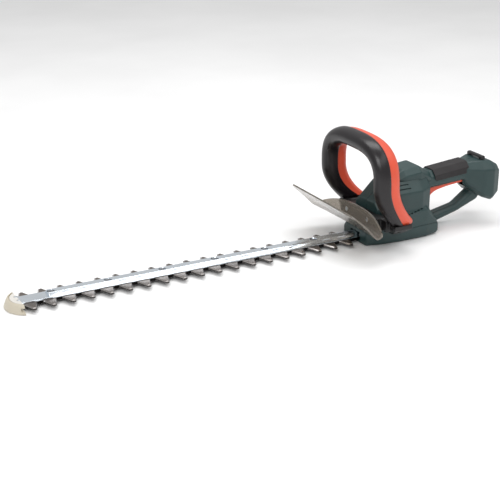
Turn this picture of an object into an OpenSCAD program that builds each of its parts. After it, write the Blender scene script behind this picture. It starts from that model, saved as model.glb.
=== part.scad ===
// Cordless double-sided hedge trimmer, shown without its battery pack.
// X runs from the blade tip (-X) to the rear handle (+X), Y across, Z up.
// The origin is the centre of the footprint, at the height of the base.

/* [Cutter bar] */
// Distance between neighbouring teeth
tooth_pitch = 29; // [24:1:35]
// Number of teeth on each side
tooth_count = 19; // [12:1:22]
// Reach of an upper tooth beyond the blade strip
tooth_reach = 19; // [14:1:24]
// Extra reach of the blunt lower teeth
blunt_reach = 3; // [1:0.5:5]
// Width of a tooth where it leaves the strip
tooth_root = 21; // [15:1:23]
// Width of a tooth at its tip
tooth_tip = 7; // [4:0.5:9]
// Thickness of each blade
blade_t = 2; // [1.6:0.1:2.6]
// Width of the blade strips
strip_w = 24; // [20:1:28]
// Running gap between sliding faces
slide_gap = 0.1; // [0.05:0.05:0.3]
// Height of the blade underside above the base
blade_z = 5; // [4.6:0.1:7]
// Height of the spine bar
spine_h = 7; // [5:0.5:9]
// Width of the flat top of the spine bar
spine_top_w = 13; // [11:0.5:16]
// Diameter of the sleeves that the blades slide on
sleeve_d = 7; // [6:0.5:9]
// Number of teeth between two blade bolts
bolt_every = 3; // [2:1:4]

/* [Drive] */
// Eccentric throw, which is half of each blade's stroke
throw = 7; // [5:0.5:8]
// Diameter of the fixed gear axle
axle_d = 8; // [6:0.5:10]
// Teeth on the drive gear
gear_teeth = 62; // [50:2:66]
// Teeth on the motor pinion
pinion_teeth = 14; // [12:1:16]
// Thickness of the gears
gear_t = 8; // [6:0.5:8]
// Outside diameter of the motor can
motor_d = 44; // [36:1:46]
// Length of the motor can
motor_len = 60; // [48:1:62]
// Diameter of the motor shaft
shaft_d = 5; // [4:0.5:6]

/* [Body] */
// Wall of the plastic housings
wall = 3; // [2.2:0.1:3.6]
// Half width of the body behind the nose
body_half_w = 44; // [42:1:50]
// Half width of the nose where the blades leave it
nose_half_w = 34; // [33:1:40]
// Length of the base that the body rests on
base_len = 131; // [126:1:150]
// Half width of the rear handle
handle_half_w = 18; // [17:0.5:21]
// Half width of the battery box
box_half_w = 37; // [34:1:44]
// Clearance round the cover plate and other fixed inserts
fit_gap = 0.2; // [0.15:0.05:0.4]

/* [Loop handle] */
// Height of the loop's middle line at its top
loop_top = 169; // [160:1:208]
// Half width of the loop's middle line at its widest
loop_half_w = 76.5; // [72:0.5:92]
// Height at which the loop is widest
loop_mid = 109; // [100:1:116]
// Forward tilt of the upper loop in degrees
loop_tilt = 2; // [0:0.5:8]
// Radial half thickness of the loop
loop_r = 14; // [13:0.5:17]
// Depth of the front shell ahead of the middle line
loop_front = 20; // [17:0.5:24]
// Depth of the switch bar behind the middle line
bar_back = 23; // [20:0.5:28]

/* [Trigger] */
// Half width of the trigger
trigger_half_w = 11; // [8:0.5:12]
// Diameter of the trigger's hinge pin
trigger_pin_d = 4; // [3:0.5:5]

/* [Guards] */
// Width of the hand guard
guard_w = 200; // [180:2:220]
// Thickness of the hand guard
guard_t = 2.5; // [2:0.1:3.5]
// Length of the tip guard ahead of the blades
tip_len = 13; // [12:0.5:20]

/* [Hidden] */
$fn = 48;
e = 0.01;

// Heights of the blade stack
upper_z = blade_z + blade_t + slide_gap;
spine_z = upper_z + blade_t + slide_gap;
spine_top = spine_z + spine_h;

// Lengths along X are counted from the front face of the nose
last_tooth_x = -27;
first_tooth_x = last_tooth_x - (tooth_count - 1) * tooth_pitch;
blade_front_x = first_tooth_x - tooth_root / 2 - 2;
tip_pocket_x = blade_front_x - throw - 1;
tip_x = tip_pocket_x - tip_len;
tongue_len = 40;
raised_x = blade_front_x + tongue_len;
bolt_x0 = first_tooth_x + 35;
bolt_n = floor((last_tooth_x - bolt_x0) / (bolt_every * tooth_pitch)) + 1;
slot_w = sleeve_d + 0.4;
slot_l = slot_w + 2 * throw + 0.8;
screw_head_t = 1.6;

// Gear train
gear_x = 54;
gear_r = gear_teeth / 2;
pinion_r = pinion_teeth / 2;
motor_x = gear_x + gear_r + pinion_r;
eccentric_d = axle_d + 2 * throw + 4;
window_x = eccentric_d + 4 * throw + 0.8;
window_y = eccentric_d + 2 * throw + 0.8;
yoke_x = window_x + 12;
yoke_y = window_y + 10;
gear_z = spine_z + 1.8;
case_top_z = gear_z + gear_t + 3;
case_t = 4;
case_x0 = 18;
case_x1 = motor_x + 15;
case_half_w = gear_r + 1 + 3.3;
base_t = 3;
fan_z = case_top_z + case_t + 3;
fan_t = 8;
motor_z = fan_z + fan_t + 3;
motor_top = motor_z + motor_len;

// Stations of the body: place, half width, bottom, top, bottom chamfer, top chamfer
body_x1 = base_len;
box_x1 = body_x1 + 131;
handle_z0 = 70;
handle_z1 = 106;
NOSE = [[0, nose_half_w, 0, 21, 4, 5], [22, body_half_w - 3, 0, 44, 4, 10],
    [60, body_half_w, 0, 58, 4, 10], [body_x1 - 21, body_half_w, 0, 58, 4, 10],
    [body_x1 + 4, body_half_w - 4, 2, 24, 4, 6]];
MAIN = [[20, body_half_w - 12, 20, 66, 2, 10], [56, body_half_w - 2, 20, 100, 2, 20],
    [body_x1 - 31, body_half_w - 2, 20, 100, 2, 20], [body_x1 - 12, body_half_w - 9, 20, 98, 2, 16],
    [body_x1 - 2, handle_half_w - 2, 22, 93, 2, 10]];
HANDLE = [[body_x1 - 16, handle_half_w, handle_z0, handle_z1 - 9, 4, 9],
    [body_x1 + 84, handle_half_w, handle_z0 + 6, handle_z1, 4, 9]];
BOX = [[body_x1 + 70, handle_half_w, 68, handle_z1 - 3, 6, 9],
    [body_x1 + 100, box_half_w - 2, 44, handle_z1, 6, 13],
    [body_x1 + 116, box_half_w, 38, handle_z1 - 1, 6, 13],
    [box_x1, box_half_w - 6, 48, handle_z1 - 10, 4, 8]];
STRUT = [[body_x1 - 8, 11, 0, 19, 5, 5], [body_x1 + 70, 11, 20, 34, 5, 5]];
ARM = [[body_x1 + 60, 11, 17, 32, 5, 5], [body_x1 + 104, 12, 34, 62, 5, 5]];
HOOD = [[50, 22, 86, 98, 1, 6], [76, 27, 86, 112, 1, 9], [106, 27, 86, 115, 1, 9],
    [body_x1 + 3, 18, 86, 98, 1, 8]];
hood_wall = 2.5;

// Centre of the overall box, and everything that is placed from it
x_mid = (tip_x + box_x1) / 2;

// Loop handle: an oval middle line [half width, height] that ends at the feet,
// upright above loop_mid and swept back below it
loop_x0 = 7;
loop_foot_z = 48;
loop_low_z = 22;
loop_sweep_back = 0.0089;
UPPER_N = 3;
LOWER_N = 3;
foot_a = asin(pow((loop_mid - loop_foot_z) / (loop_mid - loop_low_z), LOWER_N / 2));
function upper(a) = [loop_half_w * pow(sin(a), 2 / UPPER_N),
    loop_mid + (loop_top - loop_mid) * pow(cos(a), 2 / UPPER_N)];
function lower(a) = [loop_half_w * pow(cos(a), 2 / LOWER_N),
    loop_mid - (loop_mid - loop_low_z) * pow(sin(a), 2 / LOWER_N)];
HALF = concat([for (i = [0.25, 1, 2, 3, 4, 5, 6, 7, 8, 9, 10]) upper(i * 9)], [for (i = [2 : 6])
    lower(foot_a * i / 6)]);
MIDDLE = concat([for (i = [len(HALF) - 1 : -1 : 0]) [-HALF[i].x, HALF[i].y]], HALF);
foot_y = HALF[len(HALF) - 1].x;
function loop_x(z) = loop_x0 - z * tan(loop_tilt) + loop_sweep_back * pow(max(0, loop_mid - z), 2);
lip_t = 2;
lip_a = 1;
bar_gap = 0.5;
bar_r = loop_r - lip_t - bar_gap;
bar_wall = 2;
bar_a0 = lip_a - 0.5;

// Trigger
pin_x = body_x1 + 80;
pin_z = handle_z0 + 15;
pin_fit = 0.05;

// Housing screws: place along X and height
SCREW_SPOTS = [[body_x1 - 9, 13], [body_x1 + 37, 19.5], [body_x1 + 88, 98], [body_x1 - 8, 86]];
screw_d = 3;
boss_d = 9;

module at_frame() translate([-x_mid, 0, 0]) children();

module block(x, y, z) translate([x[0], y[0], z[0]]) cube([x[1] - x[0], y[1] - y[0], z[1] - z[0]]);

module post(x, y, z, d) translate([x, y, z[0]]) cylinder(h = z[1] - z[0], d = d);

// A profile in X and Z, drawn out across Y between two places
module across(y) translate([0, y[1], 0]) rotate([90, 0, 0]) linear_extrude(y[1] - y[0]) children();

// One thin station of a hull, drawn in with an inset g
module rib(s, g, dx) translate([s[0] + dx, 0, 0]) rotate([90, 0, 90]) linear_extrude(0.1)
    let (w = s[1] - g, z0 = s[2] + g, z1 = s[3] - g, b = s[4], t = s[5])
    polygon([[w - b, z0], [w, z0 + b], [w, z1 - t], [w - t, z1],
        [t - w, z1], [-w, z1 - t], [-w, z0 + b], [b - w, z0]]);

// A convex body through all its stations
module form(stations, g) hull() {
    for (i = [0 : len(stations) - 1])
        rib(stations[i], g, i == 0 ? g : i == len(stations) - 1 ? -g - 0.1 : 0);
}

// The whole outer form of the plastic body, drawn in by g
module body_form(g) {
    form(NOSE, g);
    form(MAIN, g);
    form(HANDLE, g);
    form(BOX, g);
    form(STRUT, g);
    form(ARM, g);
}

// A profile of [place along X, outward] points swept round the loop's middle line
function outward(i) = let (n = len(MIDDLE) - 1, d = MIDDLE[min(i + 1, n)] - MIDDLE[max(i - 1, 0)])
    [-d.y, d.x] / norm(d);
function loop_point(i, q) = let (c = MIDDLE[i] + q[1] * outward(i)) [loop_x(MIDDLE[i].y) + q[0], c.x,
    c.y];
module loop_sweep(profile) {
    m = len(profile);
    n = len(MIDDLE);
    polyhedron(
        points = [for (i = [0 : n - 1]) for (q = profile) loop_point(i, q)],
        faces = concat([[for (j = [m - 1 : -1 : 0]) j]], [[for (j = [0 : m - 1]) (n - 1) * m + j]],
            [for (i = [0 : n - 2]) for (j = [0 : m - 1]) let (k = (j + 1) % m)
                [i * m + k, (i + 1) * m + k, (i + 1) * m + j, i * m + j]]),
        convexity = 8);
}
// Half an oval: depth a, half width r, pointing forward (-1) or back (+1) from place c
function half_oval(a, r, c, side, rev) = [for (i = [0 : 10]) let (t = 90 - 18 * (rev ? 10 - i : i))
    [c + side * a * cos(t), r * sin(t)]];

module slot(w, l, z) for (s = [-1, 1]) { post(s * (l - w) / 2, 0, z, w); }
module slot_hole(x, w, l, z) translate([x, 0, 0]) {
    slot(w, l, z);
    block([-(l - w) / 2, (l - w) / 2], [-w / 2, w / 2], z);
}
module each_bolt() for (i = [0 : bolt_n - 1]) translate([bolt_x0 + i * bolt_every * tooth_pitch, 0,
    0]) children();

module tooth(reach, round_tip) let (h = strip_w / 2 - 1, r = tooth_tip / 2) {
    polygon([[-tooth_root / 2, 0], [tooth_root / 2, 0], [tooth_root / 2, h],
        [r, h + reach + 1 - (round_tip ? r : 0)], [-r, h + reach + 1 - (round_tip ? r : 0)],
            [-tooth_root / 2, h]]);
    if (round_tip) translate([0, h + reach + 1 - r]) circle(r);
}

module blade(z, reach, round_tip) difference() {
    union() {
        translate([0, 0, z]) linear_extrude(blade_t) {
            translate([blade_front_x, -strip_w / 2]) square([gear_x - blade_front_x - window_x / 2,
                strip_w]);
            for (i = [0 : tooth_count - 1], s = [0, 1])
                translate([first_tooth_x + i * tooth_pitch, 0]) mirror([0, s]) tooth(reach, round_tip);
        }
        block([gear_x - yoke_x / 2, gear_x + yoke_x / 2], [-yoke_y / 2, yoke_y / 2], [z, z + blade_t]);
    }
    block([gear_x - window_x / 2, gear_x + window_x / 2], [-window_y / 2, window_y / 2], [z - 1,
        z + blade_t + 1]);
    each_bolt() slot_hole(0, slot_w, slot_l, [z - 1, z + blade_t + 1]);
}

module upper_blade() at_frame() color("#96897f") blade(upper_z, tooth_reach, false);
module lower_blade() at_frame() color("#4a4644") blade(blade_z, tooth_reach + blunt_reach, true);

module spine_bar() at_frame() color("#b8c4ca") difference() {
    union() {
        // flat tongue at the tip, and the raised bar behind it
        translate([tip_pocket_x + 1, 0, spine_z]) rotate([90, 0, 90])
            linear_extrude(tongue_len + throw + 4)
            polygon([[-strip_w / 2, 0], [strip_w / 2, 0], [strip_w / 2, 2.4], [-strip_w / 2, 2.4]]);
        translate([raised_x, 0, spine_z]) rotate([90, 0, 90]) linear_extrude(case_x0 - fit_gap - raised_x)
            polygon([[-strip_w / 2, 0], [strip_w / 2, 0], [spine_top_w / 2, spine_h],
                [-spine_top_w / 2, spine_h]]);
    }
    each_bolt() {
        post(0, 0, [spine_z - 1, spine_top + 1], sleeve_d - 1.8);
        post(0, 0, [spine_z + 2.4, spine_top + 1], 11);
    }
    for (y = [-7, 7]) post(tip_pocket_x + 6, y, [spine_z - 1, spine_z + 4], 3.4);
    for (y = [-3.5, 3.5]) post(11, y, [spine_z - 1, spine_top + 1], 4.2);
}

module blade_sleeves() at_frame() color("#8d9396") each_bolt() difference() {
    post(0, 0, [blade_z - slide_gap, spine_z], sleeve_d);
    post(0, 0, [blade_z - 1, spine_z + 1], sleeve_d - 2.2);
}
module blade_screws() at_frame() color("#6f7477") each_bolt() {
    post(0, 0, [blade_z - slide_gap - screw_head_t, blade_z - slide_gap], 12);
    post(0, 0, [blade_z - slide_gap - e, spine_z + 6.4], sleeve_d - 2.4);
}
module blade_nuts() at_frame() color("#565b60") each_bolt() difference() {
    translate([0, 0, spine_z + 2.4]) cylinder(h = 3.6, d = 10, $fn = 6);
    post(0, 0, [spine_z, spine_z + 9], sleeve_d - 2.3);
}

tip_r = strip_w / 2 + tooth_reach + blunt_reach + 2;
tip_top = spine_z + 2.4 + fit_gap + 2.6;
horn_x = first_tooth_x - tooth_root / 2 - throw + 4;
module tip_guard() at_frame() color("#ded7c6") difference() {
    intersection() {
        translate([tip_x + tip_r, 0, 0]) cylinder(h = tip_top, r = tip_r, $fn = 96);
        block([tip_x - 1, horn_x], [-tip_r, tip_r], [0, tip_top]);
    }
    translate([horn_x + 25, 0, -1]) cylinder(h = blade_z, r = 28, $fn = 96);
    block([tip_pocket_x, horn_x + 1], [-strip_w / 2 - fit_gap, strip_w / 2 + fit_gap],
        [blade_z - 0.4, spine_z + 2.4 + fit_gap]);
    block([first_tooth_x - tooth_root / 2 - throw - 1, horn_x + 1], [-tip_r, tip_r], [blade_z - 0.5,
        spine_z + 0.3]);
    for (y = [-7, 7]) {
        post(tip_pocket_x + 6, y, [blade_z + 2, tip_top + 1], 3.4);
        post(tip_pocket_x + 6, y, [tip_top - 1.4, tip_top + 1], 6.6);
    }
}
module tip_screws() at_frame() color("#8d9396") for (y = [-7, 7]) {
    post(tip_pocket_x + 6, y, [spine_z + fit_gap, tip_top - 1.3], 3);
    post(tip_pocket_x + 6, y, [tip_top - 1.4 + e, tip_top], 6);
}

// Hand guard: a sloped shield that turns up into an apron in front of the loop
saddle_x0 = 6;
guard_x1 = saddle_x0 - 0.1;
guard_z0 = 28;
apron_h = 30;
shield_x0 = -66;
shield_z0 = 81;
module hand_guard() at_frame() color("#a39a8e") difference() {
    intersection() {
        across([-guard_w / 2, guard_w / 2]) polygon([
            [shield_x0, shield_z0], [-34, 55], [-8, guard_z0 + guard_t], [guard_x1 - guard_t,
                guard_z0 + guard_t + 3],
            [guard_x1 - guard_t, 70], [guard_x1, 70], [guard_x1, guard_z0 + 2],
            [guard_x1 - 3, guard_z0], [-9, guard_z0], [-35.6, 53], [shield_x0 - 1.6, shield_z0 - 2]]);
        // front view: low rounded apron, wide shield above it
        rotate([90, 0, 90]) translate([0, 0, shield_x0 - 3]) linear_extrude(90)
            translate([-guard_w / 2, 20]) square([guard_w, 70]);
        // plan: the shield widens away from the nose and has round corners
        linear_extrude(120) {
            polygon([for (s = [-1, 1]) for (p = s > 0 ? [[14, 78], [-10, 78], [-50, 96]] : [[-50,
                -96], [-10, -78], [14, -78]])
                [p.x, p.y * guard_w / 200]]);
            translate([-80, -guard_w / 2 + 22]) square([60, guard_w - 44]);
            for (s = [-1, 1]) translate([-46, s * (guard_w / 2 - 22)]) circle(22);
        }
    }
    // the apron's top edge is an arc
    difference() {
        block([guard_x1 - guard_t - 1.5, guard_x1 + 1], [-guard_w, guard_w], [guard_z0 + guard_t + 3,
            90]);
        translate([-20, 0, guard_z0 + apron_h - apron_r]) rotate([0, 90, 0]) cylinder(h = 60,
            r = apron_r, $fn = 128);
    }
    for (s = [-1, 1]) translate([0, s * 30, 44]) rotate([0, 90, 0]) cylinder(h = 30, d = 4.4,
        center = true);
}
apron_r = 190;
module hand_guard_screws() at_frame() color("#8d9396") for (s = [-1, 1]) translate([0, s * 30, 44]) {
    translate([guard_x1 - guard_t - 2.2, 0, 0]) rotate([0, 90, 0]) cylinder(h = 2.2 - e, d = 7.5);
    translate([guard_x1 - guard_t - e, 0, 0]) rotate([0, 90, 0]) cylinder(h = 10, d = 4);
}

// Openings in the plastic body that both halves share
module body_openings() {
    // blades and spine leave the nose
    block([-1, 6], [-strip_w / 2 - 1.5, strip_w / 2 + 1.5], [blade_z - 2.2, spine_top + 0.8]);
    // cover plate in the underside
    block([case_x0 - fit_gap, case_x1 + fit_gap], [-case_half_w - fit_gap, case_half_w + fit_gap],
        [-1, wall + 5]);
    // motor reaches up into the hood
    block([motor_x - motor_d / 2 - 2, motor_x + motor_d / 2 + 2],
        [-motor_d / 2 - 1.5, motor_d / 2 + 1.5], [80, 102]);
    // trigger slot below the handle and in front of the grip opening
    block([body_x1 - 1, pin_x + 6], [-trigger_half_w - 0.4, trigger_half_w + 0.4],
        [handle_z0 - 10, handle_z0 + 12]);
    block([body_x1 - 9, body_x1 + 6], [-trigger_half_w - 0.4, trigger_half_w + 0.4], [38, handle_z0 + 6]);
    // seat of the battery slide
    block([box_x1 - 24, box_x1 + 1], [-slide_w / 2 - fit_gap, slide_w / 2 + fit_gap], [-20,
        slide_z1 + fit_gap]);
    // air slots
    for (s = [-1, 1], i = [0 : 4]) translate([74 + 6.5 * i, s * body_half_w, 45 + 1.4 * i])
        cube([4.2, 12, 2], center = true);
}
slide_w = 56;
slide_z1 = handle_z1 - 14;

module housing_half(s) difference() {
    intersection() {
        difference() {
            body_form(0);
            difference() {
                body_form(wall);
                for (p = SCREW_SPOTS) translate([p[0], 0, p[1]]) rotate([90, 0, 0])
                    cylinder(h = 120, d = boss_d, center = true);
                translate([pin_x, 0, pin_z]) rotate([90, 0, 0]) cylinder(h = 60, d = 10, center = true);
            }
        }
        block([-10, box_x1 + 10], s > 0 ? [0.05, 120] : [-120, -0.05], [-5, 150]);
    }
    body_openings();
    form([for (h = HOOD) [h[0], h[1] - 3, h[2] - 4, h[3], h[4], h[5]]], 0);
    block([pin_x - 7, pin_x + 7], [-trigger_half_w - 0.4, trigger_half_w + 0.4], [pin_z - 16, pin_z + 7]);
    translate([pin_x, 0, pin_z]) rotate([90, 0, 0]) cylinder(h = 2 * handle_half_w - 4,
        d = trigger_pin_d + 0.1, center = true);
    for (p = SCREW_SPOTS) translate([p[0], 0, p[1]]) rotate([-90, 0, 0]) {
        cylinder(h = 18.4, d = screw_d + 0.3, center = true);
        translate([0, 0, 9]) cylinder(h = 60, d = 6.4);
    }
}
module housing_left() at_frame() color("#42585a") housing_half(-1);
module housing_right() at_frame() color("#42585a") housing_half(1);
module housing_screws() at_frame() color("#3a3d40") for (p = SCREW_SPOTS) translate([p[0], 0, p[1]])
    rotate([-90, 0, 0]) {
    translate([0, 0, -9]) cylinder(h = 19, d = screw_d);
    translate([0, 0, 9.1]) cylinder(h = 1.8, d = 6);
}

module base_plate() at_frame() color("#3d4244") difference() {
    union() {
        block([case_x0, case_x1], [-case_half_w, case_half_w], [0, base_t]);
        post(gear_x, 0, [0, blade_z - 0.6], axle_d + 4);
    }
    post(gear_x, 0, [1, base_t + 3], axle_d + 0.1);
    for (x = [case_x0 + 5, case_x1 - 5], y = [5 - case_half_w, case_half_w - 5]) {
        post(x, y, [-1, base_t + 1], 3.6);
        post(x, y, [-1, 1.6], 6.6);
    }
}
module base_screws() at_frame() color("#3a3d40")
    for (x = [case_x0 + 5, case_x1 - 5], y = [5 - case_half_w, case_half_w - 5]) {
        post(x, y, [0.2, 1.5], 6);
        post(x, y, [1.5 - e, 10], 3);
    }

module gearbox_case() at_frame() color("#a9adb0") difference() {
    union() {
        block([case_x0, case_x1], [-case_half_w, case_half_w], [base_t + 0.05, case_top_z + case_t]);
        block([6.5, case_x0 + 1], [-9, 9], [spine_top + fit_gap, spine_top + 5]);
    }
    // room for the gears and yokes, leaving a post in each corner
    difference() {
        block([case_x0 + 3, case_x1 - 3], [3.2 - case_half_w, case_half_w - 3.2], [base_t - 1,
            case_top_z]);
        for (x = [case_x0 + 5, case_x1 - 5], y = [5 - case_half_w, case_half_w - 5]) post(x, y, [0,
            case_top_z + 1], 8);
    }
    block([case_x0 - 1, case_x0 + 4], [-strip_w / 2 - 1, strip_w / 2 + 1], [base_t - 1,
        spine_top + fit_gap]);
    block([case_x0 - 1, case_x0 + 4], [-yoke_y / 2 - 1, yoke_y / 2 + 1], [base_t - 1, spine_z]);
    block([case_x1 - 4, case_x1 + 1], [-yoke_y / 2 - 1, yoke_y / 2 + 1], [base_t - 1, spine_z]);
    post(gear_x, 0, [case_top_z - 1, case_top_z + case_t + 1], axle_d + 0.1);
    post(motor_x, 0, [case_top_z - 1, case_top_z + case_t + 1], 14.1);
    for (x = [case_x0 + 5, case_x1 - 5], y = [5 - case_half_w, case_half_w - 5]) post(x, y, [0, 12], 3.2);
    for (y = [-3.5, 3.5]) post(11, y, [spine_top - 1, spine_top + 8], 4.2);
}
module spine_bolts() at_frame() color("#6f7477") for (y = [-3.5, 3.5]) {
    post(11, y, [spine_z + 0.3, spine_top + 5 + e], 4);
    post(11, y, [spine_top + 5, spine_top + 7.4], 6.6);
}

module gear_axle() at_frame() color("#b9bdc0") post(gear_x, 0, [1.1, case_top_z + case_t + 1], axle_d);

// A spur gear of module 1 with plain straight-sided teeth
module gear_form(n, t, bore, turn) difference() {
    linear_extrude(t) rotate(turn) polygon([for (i = [0 : n - 1]) for (p = [[-0.95, -1.2], [-0.5,
        0.8], [0.5, 0.8], [0.95, -1.2]])
        let (r = n / 2 + p[1], a = i * 360 / n + p[0] / r * 180 / PI) r * [cos(a), sin(a)]]);
    translate([0, 0, -1]) cylinder(h = t + 2, d = bore);
}
axle_run = 0.06;
module drive_gear() at_frame() color("#85888a") translate([gear_x, 0, gear_z]) gear_form(gear_teeth,
    gear_t, axle_d + axle_run, 0);
module eccentric(z, side) difference() {
    post(gear_x + side * throw, 0, z, eccentric_d);
    post(gear_x, 0, [z[0] - 1, z[1] + 1], axle_d + axle_run);
}
module lower_eccentric() at_frame() color("#777b7e") eccentric([blade_z - 0.2,
    upper_z - slide_gap / 2], 1);
module upper_eccentric() at_frame() color("#777b7e") union() {
    eccentric([upper_z, spine_z + 0.3], -1);
    difference() {
        post(gear_x, 0, [spine_z + 0.3 - e, gear_z - 0.05], axle_d + 10);
        post(gear_x, 0, [spine_z - 1, gear_z + 1], axle_d + axle_run);
    }
}

module pinion() at_frame() color("#9b9ea0") translate([motor_x, 0, gear_z])
    gear_form(pinion_teeth, gear_t, shaft_d + 0.04,
        180 + (pinion_teeth % 2 == 0 ? 180 / pinion_teeth : 0));
shaft_top = motor_top - 5;
module armature() at_frame() color("#8a5a34") {
    post(motor_x, 0, [gear_z - 0.5, shaft_top], shaft_d);
    difference() {
        post(motor_x, 0, [motor_z + 9, motor_top - 19], motor_d - 15);
        post(motor_x, 0, [motor_z, motor_top], shaft_d - 2 * e);
        for (i = [0 : 4]) rotate_about(motor_x, i * 72) translate([motor_d / 2 - 9, -1.2, motor_z])
            cube([6, 2.4, motor_len]);
    }
}
module rotate_about(x, a) translate([x, 0, 0]) rotate(a) children();
module commutator() at_frame() color("#b87333") difference() {
    post(motor_x, 0, [motor_top - 18, motor_top - 9], 14);
    post(motor_x, 0, [motor_top - 20, motor_top], shaft_d + 0.04);
}
module cooling_fan() at_frame() color("#2f3133") difference() {
    union() {
        post(motor_x, 0, [fan_z, fan_z + fan_t], 14);
        post(motor_x, 0, [fan_z, fan_z + 1.6], motor_d - 4);
        for (i = [0 : 10]) rotate_about(motor_x, i * 360 / 11) block([6, motor_d / 2 - 2.5], [-0.8,
            0.8], [fan_z + 1, fan_z + fan_t]);
    }
    post(motor_x, 0, [fan_z - 1, fan_z + fan_t + 1], shaft_d + 0.04);
}
module motor_can() at_frame() color("#9ea2a5") difference() {
    post(motor_x, 0, [motor_z, motor_top - 8], motor_d);
    post(motor_x, 0, [motor_z + 2, motor_top], motor_d - 3.2);
    post(motor_x, 0, [motor_z - 1, motor_z + 3], 10.1);
}
module motor_magnets() at_frame() color("#33363a") difference() {
    post(motor_x, 0, [motor_z + 6, motor_top - 14], motor_d - 3.3);
    post(motor_x, 0, [motor_z, motor_top], motor_d - 11);
    block([motor_x - 4, motor_x + 4], [-40, 40], [motor_z, motor_top]);
}
module motor_end_cap() at_frame() color("#1f2123") difference() {
    union() {
        post(motor_x, 0, [motor_top - 8 + 0.05, motor_top], motor_d - 1);
        post(motor_x, 0, [motor_top - 12, motor_top - 7.5], motor_d - 3.4);
    }
    post(motor_x, 0, [motor_top - 13, motor_top - 8.5], 20);
    post(motor_x, 0, [motor_top - 13, motor_top - 2], 12.1);
}
module ring_bearing(z, od, id) difference() {
    post(motor_x, 0, z, od);
    post(motor_x, 0, [z[0] - 1, z[1] + 1], id + 0.06);
}
module front_bearing() at_frame() color("#c4c7c9") ring_bearing([case_top_z, case_top_z + case_t],
    14, shaft_d);
module rear_bearing() at_frame() color("#c4c7c9") ring_bearing([motor_top - 8, motor_top - 4], 12,
    shaft_d);

module motor_hood() at_frame() color("#33474a") difference() {
    form(HOOD, 0);
    form([for (h = HOOD) [h[0], h[1], h[2] - hood_wall - 4, h[3], h[4], h[5]]], hood_wall);
    form(MAIN, -fit_gap);
    form(HANDLE, -fit_gap);
    for (s = [-1, 1], i = [0 : 2]) translate([60 + i, s * 28, 101 + 3.4 * i]) cube([16, 14, 1.6],
        center = true);
}

module loop_shell() at_frame() color("#2f2b2d") loop_sweep(concat(
    [[lip_a, loop_r]], half_oval(loop_front, loop_r, 0, -1, false), [[lip_a, -loop_r], [lip_a,
        lip_t - loop_r]],
    half_oval(loop_front - 3, loop_r - lip_t, 0, -1, true), [[lip_a, loop_r - lip_t]]));
frame_a = [-8, 8];
frame_r = bar_r - bar_wall - 1.5;
module loop_frame() at_frame() color("#232122") loop_sweep([[frame_a[0], frame_r], [frame_a[0], -frame_r],
    [frame_a[1], -frame_r], [frame_a[1], frame_r]]);
module switch_bar() at_frame() color("#e5654f") loop_sweep(let (a = bar_back - 8, w = bar_wall) concat(
    [[bar_a0, bar_r], [bar_a0, bar_r - w]], half_oval(a - w, bar_r - w, 8, 1, false), [[bar_a0,
        w - bar_r], [bar_a0, -bar_r]],
    half_oval(a, bar_r, 8, 1, true)));
// Springs and switch sit in the top of the loop
module on_loop_top() translate([loop_x(loop_top), 0, loop_top]) children();
spring_len = bar_back - bar_wall - frame_a[1] - 1.8;
module bar_springs() at_frame() color("#c9ccce") on_loop_top() for (y = [-11, 11])
    translate([frame_a[1] + 0.2, y, -0.6]) rotate([0, 90, 0]) difference() {
        cylinder(h = spring_len, d = 6);
        translate([0, 0, -1]) cylinder(h = 20, d = 4);
    }
module bar_switch() at_frame() color("#17181a") on_loop_top() block([-14, frame_a[0] - 0.1], [-8, 8],
    [-4, 3]);

module foot(s) hull() {
    translate([foot_x - 18, s * foot_y - 15, 37]) cube([33, 30, 14]);
    translate([foot_x - 3, s * (foot_y - 18) - 6, 21]) cube([22, 12, 4]);
}
foot_x = loop_x(loop_foot_z);
// Lean of the loop's ends from upright
foot_lean = let (n = len(HALF) - 1, d = HALF[n - 1] - HALF[n]) -atan2(d.x, d.y);
module loop_saddle() at_frame() color("#232021") difference() {
    union() {
        block([saddle_x0, 23], [-52, 52], [30, 51]);
        for (s = [-1, 1]) {
            block([saddle_x0 + 8, 50], s > 0 ? [body_half_w - 6, foot_y] : [-foot_y,
                6 - body_half_w], [32, 50]);
            foot(s);
        }
    }
    form(NOSE, -fit_gap);
    form(MAIN, -fit_gap);
    for (s = [-1, 1]) {
        // socket for the end of the loop
        translate([foot_x, s * foot_y, loop_foot_z]) rotate([s * foot_lean, 0, 0])
            block([-loop_front - 2, bar_back + 0.6], [-loop_r - 0.4, loop_r + 0.4], [-0.1, 40]);
        translate([0, s * 30, 44]) rotate([0, 90, 0]) cylinder(h = 30, d = 4.1, center = true);
        post(foot_x, s * foot_y, [20, 60], 4.4);
        post(foot_x, s * foot_y, [20, 38], 7.4);
    }
}
module loop_screws() at_frame() color("#3a3d40") for (s = [-1, 1]) {
    post(foot_x, s * foot_y, [36, 46], 3.6);
    post(foot_x, s * foot_y, [34.4, 37.9], 7);
}

module grip_pad() at_frame() color("#2c2729") difference() {
    intersection() {
        form(HANDLE, -1.8);
        block([body_x1 + 8, body_x1 + 76], [-40, 40], [83, 130]);
    }
    form(HANDLE, -fit_gap);
    form(BOX, -fit_gap);
    form(MAIN, -fit_gap);
    form(HOOD, -fit_gap);
}

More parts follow.
